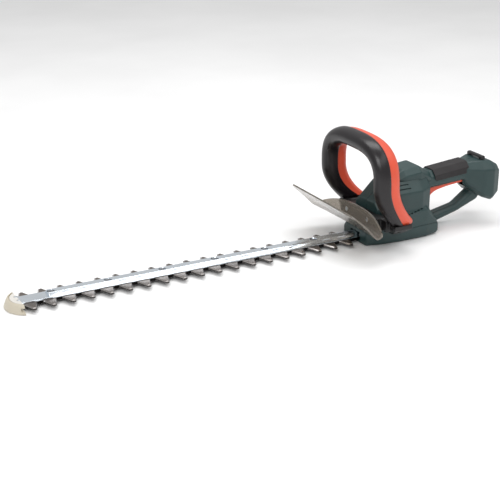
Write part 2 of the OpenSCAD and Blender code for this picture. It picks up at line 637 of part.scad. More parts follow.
module trigger() at_frame() color("#e5654f") difference() {
    across([-trigger_half_w, trigger_half_w]) polygon([
        [pin_x + 5, handle_z0 + 3], [pin_x + 5, pin_z + 4], [pin_x - 5, pin_z + 4], [pin_x - 10,
            handle_z0 + 12],
        [body_x1 + 9, handle_z0 + 5.5], [body_x1 + 1, handle_z0 + 2], [body_x1 - 2, handle_z0 - 6],
            [body_x1 - 2, 46],
        [body_x1 + 2, 45], [body_x1 + 5, 47], [body_x1 + 6, 56], [body_x1 + 11, 61], [body_x1 + 20, 64.5],
        [pin_x - 5, handle_z0 + 1.5]]);
    translate([pin_x, 0, pin_z]) rotate([90, 0, 0]) cylinder(h = 40, d = trigger_pin_d + pin_fit,
        center = true);
}
module trigger_pin() at_frame() color("#b9bdc0") translate([pin_x, 0, pin_z]) rotate([90, 0, 0])
    cylinder(h = 2 * handle_half_w - 5, d = trigger_pin_d, center = true);
module trigger_spring() at_frame() color("#c9ccce") difference() {
    post(spring_x, 0, [handle_z0 + 7.6, switch_z], 6);
    post(spring_x, 0, [handle_z0, switch_z + 2], 4);
}
spring_x = body_x1 + 26;
switch_z = handle_z0 + 14;
module trigger_switch() at_frame() color("#17181a") block([body_x1 + 18, body_x1 + 50], [-8, 8],
    [switch_z + 0.1, switch_z + 10]);

module control_board() at_frame() color("#1f5a3c") {
    block([box_x1 - 40, box_x1 - 38.4], [-24, 24], [57, 90]);
    block([box_x1 - 38.4 - e, box_x1 - 32], [-12, 12], [58, 74]);
}
module battery_slide() at_frame() color("#1b1c1e") difference() {
    block([box_x1 - 23.5, box_x1 - 4], [-slide_w / 2, slide_w / 2], [50, slide_z1]);
    block([box_x1 - 18, box_x1], [-17, 17], [49, slide_z1 - 6]);
    for (s = [-1, 1]) block([box_x1 - 13, box_x1 - 9], s > 0 ? [16, 21] : [-21, -16], [49, slide_z1 - 6]);
}
module battery_contacts() at_frame() color("#c98a3c") for (y = [-12, -4, 4, 12])
    block([box_x1 - 17.9, box_x1 - 10], [y - 0.5, y + 0.5], [60, 80]);
module hanging_loop() at_frame() color("#1d1d1f") translate([body_x1 + 104, 0, handle_z1 - 0.18])
    difference() {
    across([-19, 19]) polygon([[-4, 0.2], [4, 0.2], [4, 5], [2.5, 6.5], [-2.5, 6.5], [-4, 5]]);
    block([-5, 5], [-12, 12], [-1, 3]);
}

spine_bar();
upper_blade();
lower_blade();
blade_screws();
blade_sleeves();
blade_nuts();
tip_guard();
tip_screws();
hand_guard();
hand_guard_screws();
housing_left();
housing_right();
housing_screws();
base_plate();
base_screws();
motor_hood();
gearbox_case();
spine_bolts();
gear_axle();
drive_gear();
upper_eccentric();
lower_eccentric();
pinion();
armature();
commutator();
cooling_fan();
motor_can();
motor_magnets();
motor_end_cap();
front_bearing();
rear_bearing();
loop_saddle();
loop_shell();
loop_frame();
loop_screws();
switch_bar();
bar_springs();
bar_switch();
grip_pad();
trigger();
trigger_pin();
trigger_spring();
trigger_switch();
control_board();
battery_slide();
battery_contacts();
hanging_loop();
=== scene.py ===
import math

import bmesh
import bpy
from mathutils import Matrix, Vector


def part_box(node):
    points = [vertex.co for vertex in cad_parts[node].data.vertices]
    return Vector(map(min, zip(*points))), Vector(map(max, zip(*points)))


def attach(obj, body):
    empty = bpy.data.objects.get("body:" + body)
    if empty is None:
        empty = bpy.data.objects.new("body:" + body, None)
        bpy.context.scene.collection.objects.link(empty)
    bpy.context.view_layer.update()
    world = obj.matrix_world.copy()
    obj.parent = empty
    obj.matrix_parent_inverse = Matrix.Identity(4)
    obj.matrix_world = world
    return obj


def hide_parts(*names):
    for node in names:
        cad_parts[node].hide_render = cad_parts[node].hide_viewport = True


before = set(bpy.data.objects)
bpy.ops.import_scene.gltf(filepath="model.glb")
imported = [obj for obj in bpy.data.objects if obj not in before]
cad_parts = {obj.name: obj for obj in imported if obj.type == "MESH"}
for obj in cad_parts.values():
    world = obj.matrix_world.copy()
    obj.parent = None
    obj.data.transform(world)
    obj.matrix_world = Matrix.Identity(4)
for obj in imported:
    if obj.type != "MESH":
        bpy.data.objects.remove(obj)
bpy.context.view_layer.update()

# Places are in millimetres from the front face of the nose, at the height of the base
MM = 0.001
NOSE_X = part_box("housing_left")[0].x


def at(x, y, z):
    return Vector((NOSE_X + x * MM, y * MM, z * MM))


# ---------------------------------------------------------------- mesh tools

def add_object(name, bm):
    bmesh.ops.recalc_face_normals(bm, faces=bm.faces)
    mesh = bpy.data.meshes.new(name)
    bm.to_mesh(mesh)
    bm.free()
    obj = bpy.data.objects.new(name, mesh)
    bpy.context.scene.collection.objects.link(obj)
    return obj


def apply_modifiers(obj):
    graph = bpy.context.evaluated_depsgraph_get()
    made = bpy.data.meshes.new_from_object(obj.evaluated_get(graph))
    old = obj.data
    obj.modifiers.clear()
    obj.data = made
    bpy.data.meshes.remove(old)
    return obj


def copy_of(obj, name):
    twin = bpy.data.objects.new(name, obj.data.copy())
    bpy.context.scene.collection.objects.link(twin)
    return twin


def drop(*objs):
    for obj in objs:
        bpy.data.objects.remove(obj)


def remeshed(obj, voxel, rounds):
    """One closed skin round everything in obj, with its edges softened."""
    mod = obj.modifiers.new("skin", "REMESH")
    mod.mode = "VOXEL"
    mod.voxel_size = voxel * MM
    if rounds:
        soft = obj.modifiers.new("soft", "SMOOTH")
        soft.factor = 0.5
        soft.iterations = rounds
    return apply_modifiers(obj)


def bevelled(obj, width, segments=3, angle=30):
    mod = obj.modifiers.new("bevel", "BEVEL")
    mod.width = width * MM
    mod.segments = segments
    mod.limit_method = "ANGLE"
    mod.angle_limit = math.radians(angle)
    return apply_modifiers(obj)


def combine(obj, tool, operation="DIFFERENCE", keep=False):
    mod = obj.modifiers.new("cut", "BOOLEAN")
    mod.operation = operation
    mod.solver = "MANIFOLD"
    mod.object = tool
    apply_modifiers(obj)
    if not keep:
        drop(tool)
    return obj


def cut(obj, *tools):
    for tool in tools:
        combine(obj, tool)
    return obj


def add_hull(bm, points):
    made = [bm.verts.new(p) for p in points]
    out = bmesh.ops.convex_hull(bm, input=made)
    loose = [v for v in out["geom_interior"] if isinstance(v, bmesh.types.BMVert)]
    if loose:
        bmesh.ops.delete(bm, geom=loose, context="VERTS")


def block(x, y, z, name="block"):
    bm = bmesh.new()
    add_hull(bm, [at(a, b, c) for a in x for b in y for c in z])
    return add_object(name, bm)


def rounded_block(x, y, z, radius, name="block", segments=4):
    return bevelled(block(x, y, z, name), radius, segments)


def add_loops(bm, loops, hollow=False):
    """Joins rings of equal length into one closed skin. A hollow one joins its last ring to its first."""
    rings = [[bm.verts.new(p) for p in loop] for loop in loops]
    count = len(rings[0])
    pairs = list(zip(rings, rings[1:]))
    if hollow:
        pairs.append((rings[-1], rings[0]))
    for a, b in pairs:
        for i in range(count):
            j = (i + 1) % count
            bm.faces.new((a[i], a[j], b[j], b[i]))
    if not hollow:
        bm.faces.new(rings[0][::-1])
        bm.faces.new(rings[-1])


def prism(outline, y, name="prism"):
    """An outline in X and Z, drawn out across Y."""
    bm = bmesh.new()
    add_loops(bm, [[at(px, w, pz) for px, pz in outline] for w in y])
    return add_object(name, bm)


def plate(outline, z, name="plate"):
    """An outline in X and Y, drawn up along Z."""
    bm = bmesh.new()
    add_loops(bm, [[at(px, py, h) for px, py in outline] for h in z])
    return add_object(name, bm)


def frame_at(place, axis):
    """A matrix whose Z runs along axis, from place."""
    return Matrix.Translation(place) @ Vector(axis).to_track_quat("Z", "Y").to_matrix().to_4x4()


def hex_radius(angle, flat):
    turn = (angle + math.pi / 6) % (math.pi / 3) - math.pi / 6
    return flat / math.cos(turn)


def add_turned(bm, place, axis, rings, segments, hollow):
    """Rings of (radius, height, round or hex) about an axis, in millimetres."""
    matrix = frame_at(place, axis)
    loops = []
    for radius, height, shape in rings:
        loop = []
        for i in range(segments):
            angle = 2 * math.pi * i / segments
            r = hex_radius(angle, radius) if shape == "hex" else radius
            loop.append(matrix @ Vector((r * math.cos(angle), r * math.sin(angle), height)))
        loops.append(loop)
    add_loops(bm, loops, hollow)


def turned(place, axis, rings, name="turned", segments=48, hollow=False):
    scaled = [(r * MM, h * MM, s) for r, h, s in rings]
    bm = bmesh.new()
    add_turned(bm, place, axis, scaled, segments, hollow)
    return add_object(name, bm)


def rod(place, axis, radius, length, name="rod", segments=48):
    return turned(place, axis, [(radius, 0, "round"), (radius, length, "round")], name, segments)


def joined(objs, name):
    bm = bmesh.new()
    for obj in objs:
        bm.from_mesh(obj.data)
    drop(*objs)
    return add_object(name, bm)


def screw(place, axis, head_r, head_h, shank_r, shank_len, name="screw"):
    """A cap screw with a hex socket. place is under the head, and axis points out of it."""
    socket = head_r * 0.45
    soft = min(0.5, head_h * 0.3)
    return turned(place, axis, [
        (shank_r, -shank_len, "round"), (shank_r, 0, "round"),
        (head_r - soft * 0.5, 0, "round"), (head_r, soft * 0.5, "round"),
        (head_r, head_h - soft, "round"), (head_r - soft * 0.3, head_h - soft * 0.3, "round"),
        (head_r - soft, head_h, "round"),
        (socket + 0.25, head_h, "hex"), (socket, head_h - 0.25, "hex"),
        (socket, head_h * 0.35, "hex"), (socket * 0.3, head_h * 0.25, "round")], name)


def finish_piece(obj, material, body, nodes, sharp=35):
    if material is not None:
        obj.data.materials.clear()
        obj.data.materials.append(material)
    obj.data.shade_smooth()
    obj.data.set_sharp_from_angle(angle=math.radians(sharp))
    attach(obj, body)
    if nodes:
        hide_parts(*nodes)
    return obj


# ---------------------------------------------------------------- materials

def new_material(name):
    material = bpy.data.materials.new(name)
    material.use_nodes = True
    tree = material.node_tree
    return material, tree, tree.nodes["Principled BSDF"]


def noise(tree, scale, detail=3.0, stretch=(1, 1, 1)):
    coords = tree.nodes.new("ShaderNodeTexCoord")
    place = tree.nodes.new("ShaderNodeMapping")
    place.inputs["Scale"].default_value = stretch
    texture = tree.nodes.new("ShaderNodeTexNoise")
    texture.inputs["Scale"].default_value = scale
    texture.inputs["Detail"].default_value = detail
    tree.links.new(coords.outputs["Object"], place.inputs["Vector"])
    tree.links.new(place.outputs["Vector"], texture.inputs["Vector"])
    return texture.outputs["Fac"]


def ramp(tree, value, low, high, start=0.35, stop=0.65):
    node = tree.nodes.new("ShaderNodeValToRGB")
    node.color_ramp.elements[0].position = start
    node.color_ramp.elements[0].color = (*low, 1)
    node.color_ramp.elements[1].position = stop
    node.color_ramp.elements[1].color = (*high, 1)
    tree.links.new(value, node.inputs["Fac"])
    return node.outputs["Color"]


def spread(tree, value, low, high):
    node = tree.nodes.new("ShaderNodeMapRange")
    node.inputs["From Min"].default_value = 0.3
    node.inputs["From Max"].default_value = 0.7
    node.inputs["To Min"].default_value = low
    node.inputs["To Max"].default_value = high
    tree.links.new(value, node.inputs["Value"])
    return node.outputs["Result"]


def add_bump(tree, shader, value, strength, distance):
    node = tree.nodes.new("ShaderNodeBump")
    node.inputs["Strength"].default_value = strength
    node.inputs["Distance"].default_value = distance * MM
    tree.links.new(value, node.inputs["Height"])
    tree.links.new(node.outputs["Normal"], shader.inputs["Normal"])


def shade(colour, factor):
    return tuple(min(1, c * factor) for c in colour)


def plastic(name, colour, rough=(0.42, 0.55), grain=900, grain_depth=0.04, vary=0.08, coat=0.0):
    """Moulded plastic: slow change of tone, fine spark-eroded grain, uneven gloss."""
    material, tree, shader = new_material(name)
    slow = noise(tree, 14)
    fine = noise(tree, grain, 4)
    tree.links.new(ramp(tree, slow, shade(colour, 1 - vary), shade(colour, 1 + vary)),
        shader.inputs["Base Color"])
    tree.links.new(spread(tree, noise(tree, 60, 5), *rough), shader.inputs["Roughness"])
    add_bump(tree, shader, fine, 0.5, grain_depth)
    shader.inputs["Coat Weight"].default_value = coat
    return material


def metal(name, colour, rough=(0.2, 0.34), brush=(1, 30, 30), scale=60, depth=0.01, vary=0.08):
    """Steel or alloy with brushing along X, faint stains and uneven gloss."""
    material, tree, shader = new_material(name)
    streaks = noise(tree, scale, 6, brush)
    stains = noise(tree, 22, 4)
    tree.links.new(ramp(tree, stains, shade(colour, 1 - vary), shade(colour, 1 + vary)),
        shader.inputs["Base Color"])
    tree.links.new(spread(tree, streaks, *rough), shader.inputs["Roughness"])
    add_bump(tree, shader, streaks, 0.6, depth)
    shader.inputs["Metallic"].default_value = 1.0
    return material


def smoky_clear(name, colour):
    """Smoked clear plastic with faint swirl marks from moulding."""
    material, tree, shader = new_material(name)
    slow = noise(tree, 9, 3)
    tree.links.new(ramp(tree, slow, shade(colour, 0.9), shade(colour, 1.1)), shader.inputs["Base Color"])
    tree.links.new(spread(tree, noise(tree, 40, 4), 0.1, 0.2), shader.inputs["Roughness"])
    add_bump(tree, shader, noise(tree, 120, 2), 0.3, 0.03)
    shader.inputs["IOR"].default_value = 1.49
    shader.inputs["Transmission Weight"].default_value = 0.72
    return material


def windings(name):
    """Copper wire laid in bands round the armature."""
    material, tree, shader = new_material(name)
    coords = tree.nodes.new("ShaderNodeTexCoord")
    wave = tree.nodes.new("ShaderNodeTexWave")
    wave.bands_direction = "Z"
    wave.inputs["Scale"].default_value = 700
    wave.inputs["Distortion"].default_value = 1.5
    tree.links.new(coords.outputs["Object"], wave.inputs["Vector"])
    tree.links.new(ramp(tree, wave.outputs["Fac"], (0.22, 0.08, 0.03), (0.6, 0.3, 0.14), 0.2, 0.8),
        shader.inputs["Base Color"])
    tree.links.new(spread(tree, noise(tree, 90), 0.3, 0.45), shader.inputs["Roughness"])
    add_bump(tree, shader, wave.outputs["Fac"], 0.8, 0.1)
    shader.inputs["Metallic"].default_value = 0.7
    return material


TEAL = (0.016, 0.042, 0.042)
CORAL = (0.70, 0.085, 0.040)

body_plastic = plastic("body_plastic", TEAL, rough=(0.36, 0.46), grain=1100, grain_depth=0.03)
hood_plastic = plastic("hood_plastic", shade(TEAL, 1.08), rough=(0.36, 0.46), grain=1100, grain_depth=0.03)
loop_skin = plastic("loop_skin", (0.0060, 0.0040, 0.0055), rough=(0.27, 0.34), grain=1400, grain_depth=0.02)
coral_plastic = plastic("coral_plastic", CORAL, rough=(0.34, 0.44), grain=1400, grain_depth=0.015,
    vary=0.05)
grip_rubber = plastic("grip_rubber", (0.0085, 0.0065, 0.0075), rough=(0.5, 0.62), grain=700, grain_depth=0.08)
saddle_plastic = plastic("saddle_plastic", (0.0045, 0.004, 0.0045), rough=(0.38, 0.5),
    grain=900, grain_depth=0.04)
black_plastic = plastic("black_plastic", (0.006, 0.0055, 0.0065), rough=(0.35, 0.5))
cream_plastic = plastic("cream_plastic", (0.56, 0.51, 0.41), rough=(0.38, 0.5), grain=1000, grain_depth=0.03)
white_plastic = plastic("white_plastic", (0.66, 0.64, 0.60), rough=(0.38, 0.5), grain=1000, grain_depth=0.03)
board_green = plastic("board_green", (0.02, 0.16, 0.06), rough=(0.25, 0.4), grain=500, grain_depth=0.05)
guard_clear = smoky_clear("guard_clear", (0.42, 0.38, 0.33))
# The spine is bright polished metal; the blue tint in its colour is a painted bluish reflection
spine_steel = metal("spine_steel", (0.80, 0.86, 0.92), rough=(0.14, 0.22), vary=0.04)
upper_steel = metal("upper_steel", (0.19, 0.165, 0.15), rough=(0.3, 0.46), vary=0.14)
lower_steel = metal("lower_steel", (0.085, 0.078, 0.076), rough=(0.32, 0.48), vary=0.18)
ground_steel = metal("ground_steel", (0.34, 0.32, 0.31), rough=(0.2, 0.32), vary=0.1)
# Near-black steel for the blades' upright side walls: painted shade standing in for the shadow under the
# spine
painted_shade_steel = metal("painted_shade_steel", (0.010, 0.009, 0.009), rough=(0.28, 0.4), vary=0.2)
zinc = metal("zinc", (0.62, 0.64, 0.66), rough=(0.25, 0.4), brush=(1, 1, 1), scale=400)
dark_zinc = metal("dark_zinc", (0.30, 0.31, 0.33), rough=(0.3, 0.45), brush=(1, 1, 1), scale=400)
black_steel = metal("black_steel", (0.06, 0.06, 0.065), rough=(0.3, 0.45), brush=(1, 1, 1), scale=400)
cast_alloy = metal("cast_alloy", (0.5, 0.51, 0.52), rough=(0.42, 0.6), brush=(1, 1, 1), scale=700, depth=0.06)
gear_steel = metal("gear_steel", (0.36, 0.37, 0.38), rough=(0.24, 0.4), brush=(1, 1, 1), scale=300,
    depth=0.02)
copper = metal("copper", (0.72, 0.38, 0.2), rough=(0.22, 0.36), brush=(1, 1, 1), scale=300)
contact_brass = metal("contact_brass", (0.78, 0.55, 0.22), rough=(0.2, 0.34), brush=(1, 1, 12), scale=200)
wound_wire = windings("wound_wire")

# ---------------------------------------------------------------- body forms

# Stations along the body: place, half width, bottom, top, bottom chamfer, top chamfer
BASE_LEN = 131
BOX_LEN = 131
BOX_END = BASE_LEN + BOX_LEN
NOSE = [(0, 34, 0, 21, 4, 5), (22, 41, 0, 44, 4, 10), (60, 44, 0, 58, 4, 10),
    (BASE_LEN - 21, 44, 0, 58, 4, 10), (BASE_LEN + 4, 40, 2, 24, 4, 6)]
MAIN = [(20, 32, 20, 66, 2, 10), (56, 42, 20, 100, 2, 20), (BASE_LEN - 31, 42, 20, 100, 2, 20),
    (BASE_LEN - 12, 35, 20, 98, 2, 16), (BASE_LEN - 2, 16, 22, 93, 2, 10)]
HANDLE = [(BASE_LEN - 16, 18, 70, 97, 4, 9), (BASE_LEN + 84, 18, 76, 106, 4, 9)]
BOX = [(BASE_LEN + 70, 18, 68, 103, 6, 9), (BASE_LEN + 100, 35, 44, 106, 6, 13),
    (BASE_LEN + 116, 37, 38, 105, 6, 13), (BOX_END, 31, 48, 96, 4, 8)]
STRUT = [(BASE_LEN - 8, 11, 0, 19, 5, 5), (BASE_LEN + 70, 11, 20, 34, 5, 5)]
ARM = [(BASE_LEN + 60, 11, 17, 32, 5, 5), (BASE_LEN + 104, 12, 34, 62, 5, 5)]
HOOD = [(50, 22, 86, 98, 1, 6), (76, 27, 86, 112, 1, 9), (106, 27, 86, 115, 1, 9),
    (BASE_LEN + 3, 18, 86, 98, 1, 8)]


def add_form(bm, stations, inset):
    """A convex body through its stations, drawn in by inset."""
    points = []
    last = len(stations) - 1
    for i, (x, half, z0, z1, low, high) in enumerate(stations):
        x += inset if i == 0 else -inset if i == last else 0
        w, a, b = half - inset, z0 + inset, z1 - inset
        corners = [(w - low, a), (w, a + low), (w, b - high), (w - high, b)]
        points += [at(x, s * y, z) for s in (-1, 1) for y, z in corners]
    add_hull(bm, points)


def forms(stations_list, inset, voxel, rounds, name="form"):
    bm = bmesh.new()
    for stations in stations_list:
        add_form(bm, stations, inset)
    return remeshed(add_object(name, bm), voxel, rounds)


BODY = [NOSE, MAIN, HANDLE, BOX, STRUT, ARM]
SOFT_ROUNDS = 14
BODY_VOXEL = 1.1
WALL = 3.6
SCREW_SPOTS = [(BASE_LEN - 9, 13), (BASE_LEN + 37, 19.5), (BASE_LEN + 88, 98), (BASE_LEN - 8, 86)]
PIN_X, PIN_Z = BASE_LEN + 80, 85
CAVITY_VOXEL = 1.6
BOSS_R = 4.6
HINGE_BOSS_R = 5
SEAM_HALF, SEAM_DEPTH = 0.35, 0.9
# Well past the body on every side
SEAM_X, HALF_X, PAST_Z = (-5, 270), (-10, 275), (-5, 150)
TRIGGER_SLOT = (-11.4, 11.4)
HEAD_SEAT_Y, HEAD_SEAT_R, SHANK_HOLE_R = 9, 3.2, 1.65
PIN_HOLE_R = 2.05


def body_cavity():
    cavity = forms(BODY, WALL, CAVITY_VOXEL, 0, "cavity")
    for x, z in SCREW_SPOTS:
        combine(cavity, rod(at(x, -60, z), (0, 1, 0), BOSS_R, 120))
    combine(cavity, rod(at(PIN_X, -30, PIN_Z), (0, 1, 0), HINGE_BOSS_R, 60))
    return cavity


def seam_tool():
    """A shallow groove round the middle plane, and one along each flank above the sole."""
    slab = block(SEAM_X, (-SEAM_HALF, SEAM_HALF), PAST_Z, "slab")
    inner = forms(BODY, SEAM_DEPTH, BODY_VOXEL, SOFT_ROUNDS, "inner")
    combine(slab, inner, keep=True)
    line = [(52, 17.6), (96, 21.6), (140, 20.6), (140, 21.5), (96, 22.5), (52, 18.5)]
    flank = [prism(line, (start, start + 60), "flank") for start in (-75, 15)]
    for groove in flank:
        combine(groove, inner, keep=True)
    drop(inner)
    return [slab, *flank]


def flank_vents():
    """Slanting air slots along each flank."""
    tools = []
    for side in (-1, 1):
        for i in range(5):
            x, z = 72 + 6.5 * i, 44.6 + 1.4 * i
            slot = [(x - 2.6, z - 1.2), (x + 2.0, z - 1.0), (x + 2.6, z + 1.2), (x - 2.0, z + 1.0)]
            tool = prism(slot, sorted((side * 36, side * 56)), "vent")
            tools.append(bevelled(tool, 0.5, 2))
    return tools


def shoulder_vents():
    """Three long louvres on each front shoulder, beside the motor hood."""
    tools = []
    for side in (-1, 1):
        for i in range(3):
            y, z = 26.5 + 5.0 * i, 97.5 - 5.6 * i
            tool = rounded_block((57 - i, 76 + 2 * i), (-1.1, 1.1), (-3.0, 3.0), 0.9, "louvre")
            turn = Matrix.Rotation(side * math.radians(-45), 4, "X")
            tool.data.transform(Matrix.Translation((0, side * y * MM, z * MM)) @ turn)
            tools.append(tool)
    return tools


def body_shell():
    shell = forms(BODY, 0, BODY_VOXEL, SOFT_ROUNDS, "shell")
    cut(shell, *seam_tool())
    cut(shell, body_cavity())
    # blades leave the nose, cover plate in the sole, motor up into the hood
    cut(shell, block((-2, 6), (-13.5, 13.5), (2.8, 17)))
    cut(shell, block((17.8, 107.2), (-35.5, 35.5), (-1, 8)))
    cut(shell, block((68, 116), (-23.5, 23.5), (80, 102)))
    # trigger: slot under the handle, slot in front of the grip, pocket round the hinge
    cut(shell, rounded_block((127, PIN_X + 6), TRIGGER_SLOT, (60, 82), 1))
    cut(shell, rounded_block((122, 137), TRIGGER_SLOT, (38, 76), 1))
    cut(shell, rounded_block((PIN_X - 7, PIN_X + 7), TRIGGER_SLOT, (PIN_Z - 16, PIN_Z + 7), 1))
    # battery seat, then the hood's seat
    cut(shell, block((BOX_END - 24, BOX_END + 2), (-28.2, 28.2), (-20, 92.2)))
    seat = [(x, w - 3, z0 - 4, z1, a, b) for x, w, z0, z1, a, b in HOOD]
    cut(shell, forms([seat], 0, 1.2, 0))
    cut(shell, rod(at(PIN_X, -16, PIN_Z), (0, 1, 0), PIN_HOLE_R, 32))
    for x, z in SCREW_SPOTS:
        cut(shell, rod(at(x, HEAD_SEAT_Y, z), (0, 1, 0), HEAD_SEAT_R, 60))
        cut(shell, rod(at(x, HEAD_SEAT_Y + 0.3, z), (0, -1, 0), SHANK_HOLE_R, 18.4))
    cut(shell, *flank_vents(), *shoulder_vents())
    return shell


def make_housings():
    shell = body_shell()
    for side, name in ((-1, "left"), (1, "right")):
        half = copy_of(shell, f"shell_{name}")
        keep = block(HALF_X, sorted((side * 0.05, side * 120)), PAST_Z)
        combine(half, keep, "INTERSECT")
        finish_piece(half, body_plastic, "root", [f"housing_{name}"])
    drop(shell)


def make_hood():
    hood = forms([HOOD], 0.2, 0.9, 9, "hood_cover")
    inner = [(x, w, z0 - 6.5, z1, a, b) for x, w, z0, z1, a, b in HOOD]
    cut(hood, forms([inner], 2.8, 1.2, 0))
    cut(hood, forms([MAIN, HANDLE], -0.35, BODY_VOXEL, SOFT_ROUNDS))
    finish_piece(hood, hood_plastic, "root", ["motor_hood"])


def make_grip_pad():
    pad = forms([HANDLE], -1.8, 0.7, 6, "grip_cover")
    keep = prism([(BASE_LEN + 8, 83), (BASE_LEN + 76, 88), (BASE_LEN + 76, 130), (BASE_LEN + 8, 130)],
        (-40, 40), "keep")
    combine(pad, bevelled(keep, 6, 6), "INTERSECT")
    cut(pad, forms([HANDLE], -0.3, 0.8, 8))
    cut(pad, forms([MAIN, HOOD], -0.6, 1.1, 4), forms([BOX], -0.6, 1.1, 4))
    remeshed(pad, 0.55, 3)
    finish_piece(pad, grip_rubber, "root", ["grip_pad"], 60)


# ---------------------------------------------------------------- loop handle

LOOP_TOP, LOOP_HALF, LOOP_MID, LOOP_LOW, LOOP_FOOT = 169, 76.5, 109, 22, 48
LOOP_R, LOOP_FRONT, BAR_BACK = 14, 20, 23
LIP, BAR_GAP, BAR_OVERLAP, LIP_X = 2, 0.5, 0.5, 1
# The loop stands straight from this place, leans forward, and sweeps back below its middle
LOOP_X, LOOP_LEAN, LOOP_SWEEP = 7, math.radians(2), 0.0089
LOOP_POWER = 3
SHELL_WALL, BAR_WALL, BAR_OVAL_X = 3, 2, 8


def loop_x(z):
    return LOOP_X - z * math.tan(LOOP_LEAN) + LOOP_SWEEP * max(0, LOOP_MID - z) ** 2


def loop_middle(count):
    """Points (y, z) spaced evenly along the oval middle line, from one foot to the other."""
    fine = []
    steps = 400
    power = 2 / LOOP_POWER
    foot_sine = ((LOOP_MID - LOOP_FOOT) / (LOOP_MID - LOOP_LOW)) ** (1 / power)
    foot_angle = math.asin(foot_sine)
    for i in range(steps + 1):
        a = math.pi / 2 * i / steps
        rise = (LOOP_TOP - LOOP_MID) * max(0, math.cos(a)) ** power
        fine.append((LOOP_HALF * math.sin(a) ** power, LOOP_MID + rise))
    for i in range(1, steps + 1):
        a = foot_angle * i / steps
        fall = (LOOP_MID - LOOP_LOW) * math.sin(a) ** power
        fine.append((LOOP_HALF * math.cos(a) ** power, LOOP_MID - fall))
    whole = [(-y, z) for y, z in fine[::-1]] + fine[1:]
    lengths = [0.0]
    for (y0, z0), (y1, z1) in zip(whole, whole[1:]):
        lengths.append(lengths[-1] + math.hypot(y1 - y0, z1 - z0))
    out = []
    k = 0
    for i in range(count + 1):
        goal = lengths[-1] * i / count
        while k < len(lengths) - 2 and lengths[k + 1] < goal:
            k += 1
        t = (goal - lengths[k]) / max(1e-9, lengths[k + 1] - lengths[k])
        (y0, z0), (y1, z1) = whole[k], whole[k + 1]
        out.append((y0 + t * (y1 - y0), z0 + t * (z1 - z0)))
    return out


MIDDLE = loop_middle(150)


def loop_sweep(profile, name):
    """Sweeps a profile of (along X, outward) points round the loop."""
    loops = []
    for i, (y, z) in enumerate(MIDDLE):
        y0, z0 = MIDDLE[max(i - 1, 0)]
        y1, z1 = MIDDLE[min(i + 1, len(MIDDLE) - 1)]
        long = math.hypot(y1 - y0, z1 - z0)
        out_y, out_z = -(z1 - z0) / long, (y1 - y0) / long
        loops.append([at(loop_x(z) + a, y + r * out_y, z + r * out_z) for a, r in profile])
    bm = bmesh.new()
    add_loops(bm, loops)
    return add_object(name, bm)


def half_oval(depth, radius, centre, side, power=2.15, steps=28):
    points = []
    for i in range(steps + 1):
        t = math.pi / 2 - math.pi * i / steps
        c, s = abs(math.cos(t)), math.sin(t)
        across = radius * math.copysign(abs(s) ** (2 / power), s)
        points.append((centre + side * depth * c ** (2 / power), across))
    return points


def make_loop():
    lip = 0.7
    outer = half_oval(LOOP_FRONT, LOOP_R, 0, -1)
    inner = half_oval(LOOP_FRONT - SHELL_WALL, LOOP_R - LIP, 0, -1)[::-1]
    lip_in = LOOP_R - LIP + 0.3
    shell = loop_sweep([(LIP_X - lip, LOOP_R), *outer[1:-1], (LIP_X - lip, -LOOP_R), (LIP_X, lip - LOOP_R),
        (LIP_X, -lip_in), *inner[1:-1], (LIP_X, lip_in), (LIP_X, LOOP_R - lip)], "loop_skin")
    finish_piece(shell, loop_skin, "root", ["loop_shell"], 50)
    bar_r = LOOP_R - LIP - BAR_GAP
    start = LIP_X - BAR_OVERLAP
    deep = BAR_BACK - BAR_OVAL_X
    inside = bar_r - BAR_WALL
    outer = half_oval(deep, bar_r, BAR_OVAL_X, 1)
    inner = half_oval(deep - BAR_WALL, inside, BAR_OVAL_X, 1)[::-1]
    bar = loop_sweep([(start, bar_r), *outer[1:-1], (start, -bar_r), (start, -inside), *inner[1:-1],
        (start, inside)], "switch_bar_cover")
    finish_piece(bar, coral_plastic, "switch_bar", ["switch_bar"], 50)


def softened(node, name, voxel, rounds, material, body, sharp=60):
    """The CAD node's own shape with its moulded edges rounded."""
    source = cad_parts[node]
    obj = bpy.data.objects.new(name, source.data.copy())
    bpy.context.scene.collection.objects.link(obj)
    remeshed(obj, voxel, rounds)
    return finish_piece(obj, material, body, [node], sharp)


# ---------------------------------------------------------------- cutter bar

PITCH, TOOTH_COUNT, LAST_TOOTH = 29, 19, -27
FIRST_TOOTH = LAST_TOOTH - (TOOTH_COUNT - 1) * PITCH
TOOTH_ROOT, TOOTH_TIP, REACH, BLUNT = 21, 7, 19, 3
STRIP, BLADE_T, BLADE_Z, GAP = 24, 2, 5, 0.1
UPPER_Z = BLADE_Z + BLADE_T + GAP
SPINE_Z = UPPER_Z + BLADE_T + GAP
SPINE_TOP = SPINE_Z + 7
TONGUE_T = 2.4
BLADE_FRONT = FIRST_TOOTH - TOOTH_ROOT / 2 - 2
THROW = 7
GEAR_X = 54
YOKE_X, YOKE_Y, WINDOW_X, WINDOW_Y = 33.4, 25.4, 27.4, 20.4
SLOT_HALF = 7.4 / 2
GROUND = 1.7
POCKET_X = BLADE_FRONT - THROW - 1
TIP_X = POCKET_X - 13
BOLT_X = [FIRST_TOOTH + 35 + 3 * PITCH * i for i in range(6)]


def tooth_side(reach, blunt, inset):
    """One tooth's outline from root to root: place along the bar, distance from the middle."""
    root, tip = TOOTH_ROOT / 2, TOOTH_TIP / 2
    foot = STRIP / 2
    top = foot + reach
    start = 0.08
    flank_x, flank_y = root - (root - tip) * start - inset, foot + reach * start
    if blunt:
        turn = [math.pi * i / 6 for i in range(7)]
        end = [(-(tip - inset) * math.cos(a), top - tip + (tip - inset) * math.sin(a)) for a in turn]
    else:
        edge, high, corner = tip - inset, top - inset * 0.7, 0.7
        end = [(-edge, high - corner), (corner - edge, high), (0, high), (edge - corner, high),
            (edge, high - corner)]
    return [(-root, foot), (-flank_x, flank_y), *end, (flank_x, flank_y), (root, foot)]


